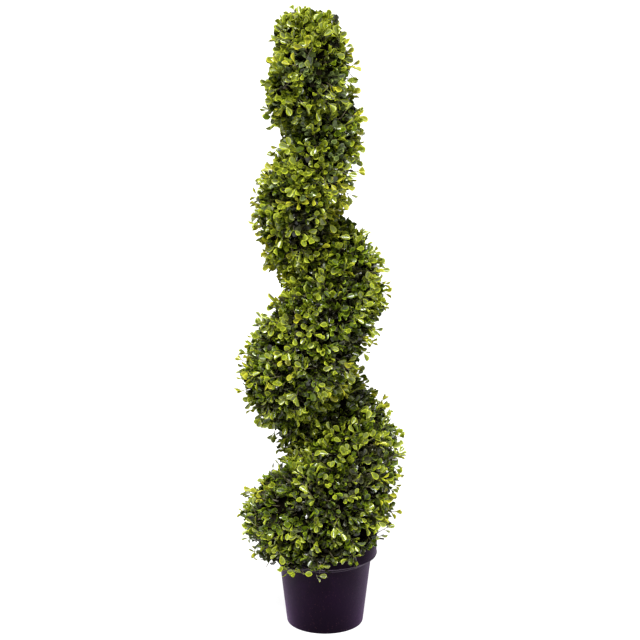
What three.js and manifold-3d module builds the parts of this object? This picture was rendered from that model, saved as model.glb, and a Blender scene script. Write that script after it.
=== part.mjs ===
// Spiral topiary: an artificial box plant wound round a slim trunk, in a plastic pot.
// Millimetres, +Z up. The origin is the centre of the pot's flat underside, and +X is to the viewer's right.
import * as THREE from "three";
import { mergeVertices } from "three/addons/utils/BufferGeometryUtils.js";
import Module from "manifold-3d";

const wasm = await Module();
wasm.setup();

// Gap between pieces that touch on the real plant, and distance under which two vertices become one.
const SEAT_GAP = 0.3;
const MERGE_DISTANCE = 1e-3;

// Pot with a raised collar round its top.
const POT = {
  baseRadius: 57.8,
  bodyRadius: 70.3,
  collarRadius: 77.8,
  rimRadius: 78.8,
  collarFoot: 110,
  height: 138,
  wall: 2.4,
  floor: 3.2,
  edge: 1.6,
  segments: 40,
};

// Filling that holds the trunk in the pot.
const FILLING = { top: 121, crown: 2, segments: 24 };

// Trunk: a slim pole with a flare at its foot. It leans to the left by LEAN for each millimetre of height.
const LEAN = -0.0302;
const LEAN_FOOT = 40;
const TRUNK = {
  flareRadius: 16,
  flareHeight: 26,
  flareRings: 3,
  footRadius: 9.5,
  tipRadius: 4.5,
  top: 872,
  rings: 9,
  segments: 12,
};

// Spiral. Places along it are counted in half turns: 0 is the first bulge on the left, 1 the next on the right.
// It starts on the pot's rim under the first bulge, and ends in front at the top.
const SPIRAL_START = -2.1;
const SPIRAL_END = 7.5;
const HALF_TURN_HEIGHTS = [112, 118, 146, 167, 260, 396, 527, 634, 752, 806, 860, 896];
const FIRST_HEIGHT_AT = -3;
const OFFSET = { low: 37, high: 18, narrowsFrom: 420, narrowsTo: 720 };

// Radius of the foliage round the spiral's centre line, out to the leaf tips. It tapers off on the pot's rim.
const REACH = { low: 88, lessAtTop: 35, from: 150, to: 880, startTaper: 0.1, endFrom: 6.5, endTaper: 0.06 };

// Core of a mass of foliage, and the gaps round it.
const CORE = {
  depth: 18,
  sides: 10,
  stepsPerHalfTurn: 5,
  capSteps: 3,
  capTilt: 72,
  endGap: 3.5,
  coilGap: 2.5,
  bendShare: 0.8,
  reachStep: 1,
  trunkGap: 2.5,
  potGap: 2,
};

// Stem, twigs and leaves. The leaves are larger than life, as there are fewer of them.
const STEM = { radius: 3.4, sides: 6 };
const TWIG = { rootRadius: 2.6, tipRadius: 3.2, tipDepth: 13, depthSpread: 4, sunk: 8, tries: 6 };
const LEAF = {
  length: 29,
  width: 22,
  widestAt: 0.62,
  thickness: 2.2,
  cup: 0.06,
  spread: 65,
  spreadRange: 24,
  sizeRange: 0.2,
  firstRoot: 2,
  rootStep: 2.2,
};
const TWIG_SIDES = 3;
const AREA_PER_TWIG = 2950;

// The twigs stand round a mass by the golden angle from the first one's angle, in radians.
// The outer side of a bend is longer than its inner side, so more twigs stand there.
const FIRST_TWIG_AT = 4.2;
const OUTER_CROWDING = 0.9;
const CROWDING_PASSES = 12;

// Space that a mass keeps to.
// The foliage hangs over the pot's collar, lower on the left than on the right.
const FOLIAGE_FOOT = { leaves: 107, cores: 122, slope: 0.18, levelFrom: -50 };
const SPACE_MARGIN = 0.8;
const TIP_ALLOWANCE = 4;
const COIL_SPACING = 0.6;
const SAMPLE_STEP = 0.01;
const BEND_STEP = 0.05;

// Length and sine that count as none.
const NEARLY_NONE = 0.01;

const SEED = 124;

// Repeatable random numbers from 0 to 1.
let randomState = SEED;
function random() {
  randomState = (randomState * 1664525 + 1013904223) % 4294967296;
  return randomState / 4294967296;
}

const heightCurve = new THREE.SplineCurve(
  HALF_TURN_HEIGHTS.map((height, i) => new THREE.Vector2(FIRST_HEIGHT_AT + i, height)),
);

function spiralHeight(u) {
  return heightCurve.getPoint((u - FIRST_HEIGHT_AT) / (HALF_TURN_HEIGHTS.length - 1)).y;
}

function trunkX(height) {
  return LEAN * (height - LEAN_FOOT);
}

// Point of the spiral's centre line at u half turns.
function centreLine(u) {
  const height = spiralHeight(u);
  const narrow = THREE.MathUtils.smoothstep(height, OFFSET.narrowsFrom, OFFSET.narrowsTo);
  const offset = THREE.MathUtils.lerp(OFFSET.low, OFFSET.high, narrow);
  const turn = Math.PI * (1 + u);
  return new THREE.Vector3(
    trunkX(height) + offset * Math.cos(turn),
    offset * Math.sin(turn),
    height,
  );
}

function foliageRadius(u) {
  const t = (spiralHeight(u) - REACH.from) / (REACH.to - REACH.from);
  const full = REACH.low - REACH.lessAtTop * t * t;
  const atStart = REACH.startTaper * Math.max(0, -u);
  const atEnd = REACH.endTaper * Math.max(0, u - REACH.endFrom);
  return full * (1 - atStart - atEnd);
}

// Directions at u: along the spiral, away from the trunk, and across both.
function spiralFrame(u) {
  const along = centreLine(u + SAMPLE_STEP).sub(centreLine(u - SAMPLE_STEP)).normalize();
  const turn = Math.PI * (1 + u);
  const outward = new THREE.Vector3(Math.cos(turn), Math.sin(turn), 0);
  outward.addScaledVector(along, -outward.dot(along)).normalize();
  const across = new THREE.Vector3().crossVectors(outward, along);
  return { along, outward, across };
}

// Points of the centre line, which tell what stretch of the spiral a point is nearest to.
const samples = [];
for (let u = SPIRAL_START; u <= SPIRAL_END; u += SAMPLE_STEP) {
  samples.push({ u, point: centreLine(u) });
}

// Distance from a point to the coils of the spiral that are not near u.
function distanceToOtherCoils(point, u) {
  let distance = Infinity;
  for (const sample of samples) {
    if (Math.abs(sample.u - u) > COIL_SPACING) {
      distance = Math.min(distance, sample.point.distanceTo(point));
    }
  }
  return distance;
}

function nearestOnSpiral(point) {
  let nearest = { u: SPIRAL_START, distance: Infinity };
  for (const sample of samples) {
    const distance = sample.point.distanceTo(point);
    if (distance < nearest.distance) {
      nearest = { u: sample.u, distance };
    }
  }
  return nearest;
}

// Masses of foliage, each with its own stretch of the spiral: the foot on the pot's rim, the half turns, the tip.
const HALF_TURN_MASSES = 7;
const masses = [{ name: "foliage_foot", from: SPIRAL_START, to: -0.5 }];
for (let i = 0; i < HALF_TURN_MASSES; i++) {
  masses.push({ name: "foliage_half_turn_" + (i + 1), from: i - 0.5, to: i + 0.5 });
}
masses.push({ name: "foliage_tip", from: HALF_TURN_MASSES - 0.5, to: SPIRAL_END });

function spiralLength(from, to) {
  const middle = (from + to) / 2;
  return centreLine(from).distanceTo(centreLine(middle)) + centreLine(middle).distanceTo(centreLine(to));
}

function geometryToSolid(geometry) {
  const bare = geometry.clone();
  bare.deleteAttribute("normal");
  bare.deleteAttribute("uv");
  const merged = mergeVertices(bare, MERGE_DISTANCE);
  return new wasm.Manifold(
    new wasm.Mesh({
      numProp: 3,
      vertProperties: merged.attributes.position.array,
      triVerts: new Uint32Array(merged.index.array),
    }),
  );
}

function solidToGeometry(solid) {
  const mesh = solid.getMesh();
  const positions = new Float32Array(mesh.numVert * 3);
  for (let i = 0; i < mesh.numVert; i++) {
    const start = i * mesh.numProp;
    positions.set(mesh.vertProperties.subarray(start, start + 3), i * 3);
  }
  const geometry = new THREE.BufferGeometry();
  geometry.setAttribute("position", new THREE.BufferAttribute(positions, 3));
  geometry.setIndex(new THREE.BufferAttribute(new Uint32Array(mesh.triVerts), 1));
  geometry.computeVertexNormals();
  return geometry;
}

// The largest piece of a solid, without sealed hollows. Its vertices are merged first, which can close a thin neck.
function largestBody(solid) {
  const bodies = geometryToSolid(solidToGeometry(solid)).decompose().filter((body) => body.volume() > 0);
  bodies.sort((a, b) => b.volume() - a.volume());
  return bodies[0];
}

// Shape turned about the vertical axis from a profile of radius and height.
function turned(profile, segments) {
  const points = profile.map(([radius, height]) => new THREE.Vector2(radius, height));
  return new THREE.LatheGeometry(points, segments).rotateX(Math.PI / 2);
}

function buildPot() {
  const { baseRadius, bodyRadius, collarRadius, rimRadius, collarFoot, height, wall, floor, edge } = POT;
  return turned(
    [
      [0, 0],
      [baseRadius - edge, 0],
      [baseRadius, edge],
      [bodyRadius, collarFoot],
      [collarRadius - edge, collarFoot],
      [collarRadius, collarFoot + edge],
      [rimRadius, height - edge],
      [rimRadius - edge, height],
      [rimRadius - wall, height],
      [collarRadius - wall, collarFoot + wall],
      [bodyRadius - wall, collarFoot + wall],
      [baseRadius - wall, floor],
      [0, floor],
    ],
    POT.segments,
  );
}

// Inner radius of the pot's body at a height below its collar.
function potInside(height) {
  const t = (height - POT.floor) / (POT.collarFoot + POT.wall - POT.floor);
  return THREE.MathUtils.lerp(POT.baseRadius, POT.bodyRadius, t) - POT.wall;
}

function buildFilling() {
  // A turned shape's flats lie inside its circle, so the gap to the pot is measured at the middle of a flat.
  const flat = Math.cos(Math.PI / POT.segments);
  const foot = POT.floor + SEAT_GAP;
  const top = FILLING.top - FILLING.crown;
  return turned(
    [
      [0, foot],
      [potInside(foot) * flat - SEAT_GAP, foot],
      [potInside(POT.collarFoot) * flat - SEAT_GAP, POT.collarFoot],
      [potInside(POT.collarFoot) * flat - SEAT_GAP, top],
      [TRUNK.flareRadius * 2, FILLING.top],
      [0, FILLING.top],
    ],
    FILLING.segments,
  );
}

const TRUNK_FOOT = FILLING.top + SEAT_GAP;

function trunkRadius(height) {
  const t = (height - TRUNK_FOOT) / (TRUNK.top - TRUNK_FOOT);
  const flare = Math.max(0, 1 - (height - TRUNK_FOOT) / TRUNK.flareHeight);
  return (
    THREE.MathUtils.lerp(TRUNK.footRadius, TRUNK.tipRadius, t) +
    (TRUNK.flareRadius - TRUNK.footRadius) * flare * flare
  );
}

// Trunk, grown by a clearance. Each ring is moved sideways by the lean, so that the foot stays level.
function buildTrunk(clearance) {
  const flareTop = TRUNK_FOOT + TRUNK.flareHeight;
  const profile = [[0, TRUNK_FOOT - clearance]];
  for (let i = 0; i < TRUNK.flareRings; i++) {
    const height = TRUNK_FOOT + (TRUNK.flareHeight * i) / TRUNK.flareRings;
    profile.push([trunkRadius(height) + clearance, height - (i === 0 ? clearance : 0)]);
  }
  for (let i = 0; i <= TRUNK.rings; i++) {
    const height = THREE.MathUtils.lerp(flareTop, TRUNK.top, i / TRUNK.rings);
    profile.push([trunkRadius(height) + clearance, height + (i === TRUNK.rings ? clearance : 0)]);
  }
  profile.push([0, TRUNK.top + clearance]);
  const geometry = turned(profile, TRUNK.segments);
  const position = geometry.attributes.position;
  for (let i = 0; i < position.count; i++) {
    position.setX(i, position.getX(i) + trunkX(position.getZ(i)));
  }
  return geometry;
}

// Radius of the spiral's bend at u.
function bendRadius(u) {
  const before = u - BEND_STEP;
  const after = u + BEND_STEP;
  const turn = spiralFrame(before).along.angleTo(spiralFrame(after).along);
  return centreLine(before).distanceTo(centreLine(after)) / turn;
}

// Reach of a core from the centre line at u in a direction. It is held back from the coils above and below,
// and from the middle of the spiral's bend, where the core's ends would cross.
function coreReach(u, direction) {
  const middle = centreLine(u);
  const inward = -direction.dot(spiralFrame(u).outward);
  const bendRoom = (CORE.bendShare * bendRadius(u)) / Math.max(inward, NEARLY_NONE);
  const furthest = Math.min(foliageRadius(u) - CORE.depth, bendRoom);
  let reach = 0;
  let point = middle;
  while (reach < furthest && distanceToOtherCoils(point, u) > reach + 2 * CORE.coilGap) {
    reach += CORE.reachStep;
    point = middle.clone().addScaledVector(direction, reach);
  }
  return Math.min(reach, furthest);
}

// Core of a mass: a cylinder bent along the spiral. The last one ends in a rounded cap.
function buildCore(mass) {
  const { from, to } = mass;
  const last = to === SPIRAL_END;
  const steps = Math.ceil((to - from) * CORE.stepsPerHalfTurn);
  const capSteps = last ? CORE.capSteps : 0;
  const rings = steps + capSteps;
  const geometry = new THREE.CylinderGeometry(1, 1, rings, CORE.sides, rings);
  const position = geometry.attributes.position;
  const endGap = (CORE.endGap / 2) * ((to - from) / spiralLength(from, to));
  const start = from === SPIRAL_START ? from : from + endGap;
  const end = last ? to : to - endGap;
  for (let i = 0; i < position.count; i++) {
    const station = position.getY(i) + rings / 2;
    const u = THREE.MathUtils.lerp(start, end, Math.min(1, station / steps));
    const tilt = THREE.MathUtils.degToRad((CORE.capTilt * Math.max(0, station - steps)) / CORE.capSteps);
    const { along, outward, across } = spiralFrame(u);
    const direction = outward
      .multiplyScalar(position.getX(i) * Math.cos(tilt))
      .addScaledVector(across, position.getZ(i) * Math.cos(tilt))
      .addScaledVector(along, Math.sin(tilt));
    const reach = direction.length() > 0 ? coreReach(u, direction.clone().normalize()) : 0;
    const point = centreLine(u).addScaledVector(direction, reach);
    position.setXYZ(i, point.x, point.y, point.z);
  }
  return geometryToSolid(geometry);
}

// Bar from start to end, with one of its flats square to the side that roll gives.
function buildBar(start, end, startRadius, endRadius, sides, roll) {
  const geometry = new THREE.CylinderGeometry(endRadius, startRadius, start.distanceTo(end), sides, 1);
  const place = new THREE.Matrix4().makeBasis(...barAxes(start, end, roll));
  place.setPosition(start.clone().add(end).multiplyScalar(0.5));
  return geometry.applyMatrix4(place);
}

// Axes of a bar: across it, along it, and across both.
function barAxes(start, end, roll) {
  const along = end.clone().sub(start).normalize();
  const level = new THREE.Vector3(0, 0, 1).cross(along);
  const side = level.length() > NEARLY_NONE ? level.normalize() : new THREE.Vector3(1, 0, 0);
  side.applyAxisAngle(along, roll);
  return [side, along, new THREE.Vector3().crossVectors(side, along)];
}

// Leaf of eight faces, pointed at its root and widest past its middle. It lies along +Y and faces +Z.
function buildLeaf(size) {
  const length = LEAF.length * size;
  const widest = length * LEAF.widestAt;
  const geometry = new THREE.OctahedronGeometry(1);
  const position = geometry.attributes.position;
  for (let i = 0; i < position.count; i++) {
    const x = position.getX(i);
    const y = position.getY(i);
    const reach = y > 0 ? length - widest : widest;
    const height = (position.getZ(i) * LEAF.thickness) / 2 + Math.abs(x) * length * LEAF.cup;
    position.setXYZ(i, (x * LEAF.width * size) / 2, widest + y * reach, height);
  }
  return geometry;
}

// Leaves at a twig's tip, one through each of its flats, with their roots on the twig's middle line.
function buildLeaves(tip, [side, along, across]) {
  const leaves = [];
  for (let i = 0; i < TWIG_SIDES; i++) {
    const round = ((i + 0.5) * 2 * Math.PI) / TWIG_SIDES;
    const spread = THREE.MathUtils.degToRad(LEAF.spread + LEAF.spreadRange * (random() - 0.5));
    const size = 1 + LEAF.sizeRange * (random() - 0.5);
    const away = side.clone().multiplyScalar(Math.sin(round)).addScaledVector(across, Math.cos(round));
    const blade = along.clone().multiplyScalar(Math.cos(spread)).addScaledVector(away, Math.sin(spread));
    const face = along.clone().multiplyScalar(Math.sin(spread)).addScaledVector(away, -Math.cos(spread));
    const place = new THREE.Matrix4().makeBasis(new THREE.Vector3().crossVectors(blade, face), blade, face);
    place.setPosition(tip.clone().addScaledVector(along, -LEAF.firstRoot - LEAF.rootStep * i));
    leaves.push(buildLeaf(size).applyMatrix4(place));
  }
  return leaves;
}

// Rise of the foliage's foot from left to right.
function footSlope(x) {
  return FOLIAGE_FOOT.slope * Math.max(x, FOLIAGE_FOOT.levelFrom);
}

// Whether a point is in the mass's own space: nearest to its stretch of the spiral, and off the pot and trunk.
function inOwnSpace(mass, point) {
  const { from, to } = mass;
  const near = nearestOnSpiral(point);
  const margin = (SPACE_MARGIN * (to - from)) / spiralLength(from, to) + SAMPLE_STEP / 2;
  const afterStart = from === SPIRAL_START || near.u > from + margin;
  const beforeEnd = to === SPIRAL_END || near.u < to - margin;
  const offCoils = distanceToOtherCoils(point, near.u) > near.distance + 2 * SPACE_MARGIN;
  const inReach = near.distance < foliageRadius(near.u) + TIP_ALLOWANCE;
  const fromTrunk = Math.hypot(point.x - trunkX(point.z), point.y);
  const offTrunk = point.z > TRUNK.top + SPACE_MARGIN || fromTrunk > trunkRadius(point.z) + SPACE_MARGIN;
  const fromPot = Math.hypot(point.x, point.y);
  const offPot = fromPot > POT.rimRadius + SPACE_MARGIN || point.z > POT.height + SPACE_MARGIN;
  const foot = FOLIAGE_FOOT.leaves + footSlope(point.x);
  return afterStart && beforeEnd && offCoils && inReach && offTrunk && offPot && point.z > foot;
}

function isLeafInSpace(mass, leaf, tip) {
  const position = leaf.attributes.position;
  for (let i = 0; i < position.count; i++) {
    const point = new THREE.Vector3().fromBufferAttribute(position, i);
    const atRoot = point.distanceTo(tip) < LEAF.firstRoot + TWIG_SIDES * LEAF.rootStep;
    if (!atRoot && !inOwnSpace(mass, point)) {
      return false;
    }
  }
  return true;
}

// Space that foliage leaves to the pot: inside its rim, close round its collar, and all that is below a sloping foot.
function buildPotSpace(gap, foot) {
  const outer = POT.rimRadius + gap;
  const top = POT.height + gap;
  const far = 3 * POT.rimRadius;
  const geometry = turned([[0, 0], [far, 0], [far, foot], [outer, foot], [outer, top], [0, top]], POT.segments);
  const position = geometry.attributes.position;
  for (let i = 0; i < position.count; i++) {
    if (Math.abs(position.getZ(i) - foot) < NEARLY_NONE) {
      position.setZ(i, foot + footSlope(position.getX(i)));
    }
  }
  return geometryToSolid(geometry);
}

const potSpace = buildPotSpace(SPACE_MARGIN, FOLIAGE_FOOT.leaves);
const potSpaceOfCores = buildPotSpace(CORE.potGap, FOLIAGE_FOOT.cores);

function isClear(solid, obstacles) {
  return obstacles.every((obstacle) => solid.intersect(obstacle).isEmpty());
}

// Places of the twigs over a mass, spread evenly over its surface by the golden angle.
function twigPlaces(mass) {
  const { from, to } = mass;
  const radius = foliageRadius((from + to) / 2);
  const length = spiralLength(from, to);
  const capLength = to === SPIRAL_END ? radius : 0;
  const count = Math.round((2 * Math.PI * radius * (length + capLength)) / AREA_PER_TWIG);
  const goldenAngle = Math.PI * (3 - Math.sqrt(5));
  const places = [];
  for (let i = 0; i < count; i++) {
    const run = ((i + 0.5) / count) * (length + capLength);
    const u = THREE.MathUtils.lerp(from, to, Math.min(1, run / length));
    const tilt = Math.asin(Math.max(0, run - length) / radius);
    const even = i * goldenAngle + FIRST_TWIG_AT;
    let round = even;
    for (let pass = 0; pass < CROWDING_PASSES; pass++) {
      round = even - OUTER_CROWDING * Math.sin(round);
    }
    places.push({ u, tilt, round });
  }
  return places;
}

// Direction in which a twig stands out of the centre line.
function twigDirection({ u, tilt, round }) {
  const { along, outward, across } = spiralFrame(u);
  return outward
    .multiplyScalar(Math.cos(round))
    .addScaledVector(across, Math.sin(round))
    .multiplyScalar(Math.cos(tilt))
    .addScaledVector(along, Math.sin(tilt));
}

// A twig's roll, of a few tried, at which most leaves fit into the mass's space, and those leaves.
function bestLeaves(mass, root, tip, obstacles) {
  let best = { roll: 0, leaves: [] };
  for (let i = 0; i < TWIG.tries && best.leaves.length < TWIG_SIDES; i++) {
    const roll = 2 * Math.PI * random();
    const leaves = buildLeaves(tip, barAxes(root, tip, roll))
      .filter((leaf) => isLeafInSpace(mass, leaf, tip))
      .map(geometryToSolid)
      .filter((leaf) => isClear(leaf, obstacles));
    if (leaves.length > best.leaves.length) {
      best = { roll, leaves };
    }
  }
  return best;
}

// Twigs of a mass, each with its leaves. One that would leave the mass's space is skipped.
function buildTwigs(mass, obstacles) {
  const parts = [];
  for (const place of twigPlaces(mass)) {
    const direction = twigDirection(place);
    const middle = centreLine(place.u);
    const length = foliageRadius(place.u) - TWIG.tipDepth - TWIG.depthSpread * (random() - 0.5);
    const root = middle.clone().addScaledVector(direction, coreReach(place.u, direction) - TWIG.sunk);
    const tip = middle.clone().addScaledVector(direction, length);
    const { roll, leaves } = bestLeaves(mass, root, tip, obstacles);
    const twig = geometryToSolid(buildBar(root, tip, TWIG.rootRadius, TWIG.tipRadius, TWIG_SIDES, roll));
    if (inOwnSpace(mass, tip) && isClear(twig, obstacles)) {
      parts.push(twig, ...leaves);
    }
  }
  return parts;
}

// Stem of a mass, from the trunk out to the middle of its core.
function buildStem(mass) {
  const end = centreLine((mass.from + mass.to) / 2);
  const start = new THREE.Vector3(trunkX(end.z), 0, end.z);
  return geometryToSolid(buildBar(start, end, STEM.radius, STEM.radius, STEM.sides, 0));
}

const trunkSpace = geometryToSolid(buildTrunk(CORE.trunkGap));
const trunkSeat = geometryToSolid(buildTrunk(SEAT_GAP));
const cores = masses.map((mass) => buildCore(mass).subtract(potSpaceOfCores));

// Solid of a mass. Its twigs and leaves keep clear of the pot, the other cores and the masses made before it.
function buildFoliage(mass, finished) {
  const core = cores[masses.indexOf(mass)];
  const obstacles = [potSpace, trunkSeat, ...cores.filter((other) => other !== core), ...finished];
  const body = wasm.Manifold.union([core, ...buildTwigs(mass, obstacles)]).subtract(trunkSpace);
  return largestBody(body.add(buildStem(mass).subtract(trunkSeat)));
}

const topiary = new THREE.Group();

function addNode(name, geometry, material) {
  const mesh = new THREE.Mesh(geometry, material);
  mesh.name = name;
  topiary.add(mesh);
}

const potPlastic = new THREE.MeshStandardMaterial({ color: 0x26212b, roughness: 0.5, metalness: 0 });
const fillingStone = new THREE.MeshStandardMaterial({ color: 0x3a332c, roughness: 0.95, metalness: 0 });
const bark = new THREE.MeshStandardMaterial({ color: 0x5a4632, roughness: 0.85, metalness: 0 });
const leafGreen = new THREE.MeshStandardMaterial({ color: 0x587b2c, roughness: 0.45, metalness: 0 });

addNode("pot", buildPot(), potPlastic);
addNode("pot_filling", buildFilling(), fillingStone);
addNode("trunk", buildTrunk(0), bark);
const finished = [];
for (const mass of masses) {
  const foliage = buildFoliage(mass, finished);
  finished.push(foliage);
  addNode(mass.name, solidToGeometry(foliage), leafGreen);
}

export default topiary;
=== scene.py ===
"""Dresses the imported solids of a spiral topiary.

The pieces are leaves, sprigs, backing mats, trunk bark, the filling's finish and a moulded pot. Plant sizes
are in millimetres, as in the part's source, and become metres when a mesh is made. +Z is up, +X is to the
viewer's right and -Y is towards the viewer.
"""

import logging
import math
from dataclasses import dataclass, field
from enum import Enum

import bmesh
import bpy
import numpy as np
from mathutils import Matrix, Vector, noise


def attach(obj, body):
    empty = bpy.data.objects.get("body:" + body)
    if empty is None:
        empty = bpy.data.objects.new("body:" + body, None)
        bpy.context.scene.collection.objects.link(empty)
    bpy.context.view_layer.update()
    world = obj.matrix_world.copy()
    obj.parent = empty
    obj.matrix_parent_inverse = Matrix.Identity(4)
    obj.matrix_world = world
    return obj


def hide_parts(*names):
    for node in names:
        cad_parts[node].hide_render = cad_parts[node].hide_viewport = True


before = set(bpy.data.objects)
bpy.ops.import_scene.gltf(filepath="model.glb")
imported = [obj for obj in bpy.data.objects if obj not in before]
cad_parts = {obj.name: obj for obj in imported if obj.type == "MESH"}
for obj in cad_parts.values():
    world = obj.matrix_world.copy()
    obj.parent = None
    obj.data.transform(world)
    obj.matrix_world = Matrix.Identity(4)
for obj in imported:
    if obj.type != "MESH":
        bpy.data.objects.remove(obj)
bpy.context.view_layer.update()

LOG = logging.getLogger("topiary")
MM = 0.001
MERGE_DISTANCE = 1e-6
SEED = 124
GOLDEN_ANGLE = math.pi * (3 - math.sqrt(5))

Array = np.ndarray
BMesh = bmesh.types.BMesh
Colour = tuple[float, float, float]
Material = bpy.types.Material
Node = bpy.types.Node
NodeTree = bpy.types.NodeTree
Piece = bpy.types.Object


class Slot(Enum):
    """Material slots of the record."""

    POT = "pot_plastic"
    TRUNK = "trunk_wood"
    FOLIAGE = "foliage"


class LeafTint(Enum):
    """Tints of the leaves, each a whole spray at a time."""

    YELLOW = 0
    LIME = 1
    FRESH = 2
    MIDDLE = 3
    DEEP = 4
    GREY = 5
    SHADE = 6
    BACKLIT_GOLD = 7
    PALE_SHEEN = 8


class LeafPart(Enum):
    """Parts of a leaf that have a colour of their own. The rim is lighter, partly as the leaf's own edge
    and partly as painted highlight.
    """

    BLADE = 0
    RIM = 1


# Finishes

# Blender's mix node has several sockets of one name, so its colours go by number.
MIX_A = 6
MIX_B = 7
MIX_RESULT = 2


def set_inputs(node: Node, values: dict[str | int, object]) -> None:
    """Sets the values of a node's inputs, by their names or numbers."""
    for name, value in values.items():
        node.inputs[name].default_value = value


def add_node(tree: NodeTree, kind: str, values: dict[str | int, object], **settings: object) -> Node:
    """Adds a node.

    Args:
        tree: Node tree that gets the node.
        kind: Blender's name of the node type.
        values: Names or numbers of inputs, and their values.
        settings: Names of the node's own settings, and their values.

    Returns:
        The new node.
    """
    node = tree.nodes.new(kind)
    for name, value in settings.items():
        setattr(node, name, value)
    set_inputs(node, values)
    return node


def add_range(tree: NodeTree, source: tuple[float, float], target: tuple[float, float]) -> Node:
    """Adds a node that maps one range of values to another."""
    names = ("From Min", "From Max", "To Min", "To Max")
    return add_node(tree, "ShaderNodeMapRange", dict(zip(names, source + target)))


def link_nodes(tree: NodeTree, *links: tuple[Node, str | int, Node, str | int]) -> None:
    """Links nodes, each link told as a node, its output, the next node and its input."""
    for source, output, target, socket in links:
        tree.links.new(source.outputs[output], target.inputs[socket])


def new_material(name: str) -> tuple[Material, Node]:
    """Makes a material with a Principled shader.

    Args:
        name: Name of the material.

    Returns:
        The material and its shader node.
    """
    material = bpy.data.materials.new(name)
    material.use_nodes = True
    return material, material.node_tree.nodes["Principled BSDF"]


@dataclass(frozen=True)
class PlainFinish:
    """A smooth surface with one colour, one roughness, a gloss and, on a lit floor, a glow."""

    name: str
    colour: Colour
    roughness: float
    specular: float = 0.5
    glow: float = 0.0

    def build(self) -> Material:
        """Makes the material.

        Returns:
            The material.
        """
        material, shader = new_material(self.name)
        values = {
            "Base Color": (*self.colour, 1),
            "Roughness": self.roughness,
            "Specular IOR Level": self.specular,
            "Emission Color": (1, 1, 1, 1),
            "Emission Strength": self.glow,
        }
        set_inputs(shader, values)
        return material


def build_grain_group() -> NodeTree:
    """Makes the node group of a fine surface grain with scattered specks.

    Returns:
        A group that turns a position into a grain height, a speck mask and a broad mottling.
    """
    group = bpy.data.node_groups.new("surface_grain", "ShaderNodeTree")
    socket = group.interface.new_socket
    socket("Vector", in_out="INPUT", socket_type="NodeSocketVector")
    for name in ("Grain Scale", "Speck Scale", "Speck Size", "Mottle Scale"):
        socket(name, in_out="INPUT", socket_type="NodeSocketFloat")
    for name in ("Grain", "Specks", "Mottle"):
        socket(name, in_out="OUTPUT", socket_type="NodeSocketFloat")
    source = add_node(group, "NodeGroupInput", {})
    result = add_node(group, "NodeGroupOutput", {})
    grain = add_node(group, "ShaderNodeTexNoise", {"Detail": 3.0, "Roughness": 0.6})
    mottle = add_node(group, "ShaderNodeTexNoise", {"Detail": 4.0, "Roughness": 0.55})
    speck = add_node(group, "ShaderNodeTexVoronoi", {"Randomness": 1.0})
    near = add_node(group, "ShaderNodeMath", {}, operation="LESS_THAN")
    for node, scale in ((grain, "Grain Scale"), (mottle, "Mottle Scale"), (speck, "Speck Scale")):
        link_nodes(group, (source, "Vector", node, "Vector"), (source, scale, node, "Scale"))
    link_nodes(
        group,
        (speck, "Distance", near, 0),
        (source, "Speck Size", near, 1),
        (grain, "Fac", result, "Grain"),
        (near, "Value", result, "Specks"),
        (mottle, "Fac", result, "Mottle"),
    )
    return group


@dataclass(frozen=True)
class GrainyFinish:
    """A finish whose colour, roughness and relief vary with the grain group.

    Relief and shade height are in metres. The foot shade is painted shade, darker towards the ground: it
    says how much of the light colour the mottling brings in, at the ground and at the shade height.
    """

    name: str
    dark: Colour
    light: Colour
    speck: Colour
    rough: tuple[float, float]
    relief: float
    grain_scale: float = 900.0
    mottle_scale: float = 120.0
    speck_scale: float = 260.0
    speck_size: float = 0.2
    mottle_range: tuple[float, float] = (0.3, 0.7)
    stretch: tuple[float, float, float] = (1.0, 1.0, 1.0)
    specular: float = 0.3
    ior: float = 1.5
    sheen: float = 0.0
    sheen_roughness: float = 0.4
    sheen_tint: Colour = (1.0, 1.0, 1.0)
    shade_height: float = 0.1
    foot_shade: tuple[float, float] = (1.0, 1.0)

    def build(self, grain_group: NodeTree) -> Material:
        """Makes the material.

        Args:
            grain_group: Node group of the surface grain.

        Returns:
            The material.
        """
        material, shader = new_material(self.name)
        tree = material.node_tree
        scales = {
            "Grain Scale": self.grain_scale,
            "Mottle Scale": self.mottle_scale,
            "Speck Scale": self.speck_scale,
            "Speck Size": self.speck_size,
        }
        source = add_node(tree, "ShaderNodeTexCoord", {})
        mapping = add_node(tree, "ShaderNodeMapping", {"Scale": self.stretch})
        grain = add_node(tree, "ShaderNodeGroup", scales, node_tree=grain_group)
        height = add_node(tree, "ShaderNodeSeparateXYZ", {})
        # Painted shade: the mottling's light colour fades out towards the ground.
        foot_shade = add_range(tree, (0.0, self.shade_height), self.foot_shade)
        shaded_mottle = add_node(tree, "ShaderNodeMath", {}, operation="MULTIPLY")
        colours = {MIX_A: (*self.dark, 1), MIX_B: (*self.light, 1)}
        body = add_node(tree, "ShaderNodeMix", colours, data_type="RGBA")
        speckled = add_node(tree, "ShaderNodeMix", {MIX_B: (*self.speck, 1)}, data_type="RGBA")
        roughness = add_range(tree, self.mottle_range, self.rough)
        bump = add_node(tree, "ShaderNodeBump", {"Strength": 1.0, "Distance": self.relief})
        link_nodes(
            tree,
            (source, "Object", height, "Vector"),
            (height, "Z", foot_shade, "Value"),
            (foot_shade, "Result", shaded_mottle, 0),
            (grain, "Mottle", shaded_mottle, 1),
            (source, "Object", mapping, "Vector"),
            (mapping, "Vector", grain, "Vector"),
            (shaded_mottle, "Value", body, "Factor"),
            (grain, "Specks", speckled, "Factor"),
            (body, MIX_RESULT, speckled, MIX_A),
            (speckled, MIX_RESULT, shader, "Base Color"),
            (grain, "Mottle", roughness, "Value"),
            (roughness, "Result", shader, "Roughness"),
            (grain, "Grain", bump, "Height"),
            (bump, "Normal", shader, "Normal"),
        )
        gloss = {
            "Specular IOR Level": self.specular,
            "IOR": self.ior,
            "Sheen Weight": self.sheen,
            "Sheen Roughness": self.sheen_roughness,
            "Sheen Tint": (*self.sheen_tint, 1),
        }
        set_inputs(shader, gloss)
        return material


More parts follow.
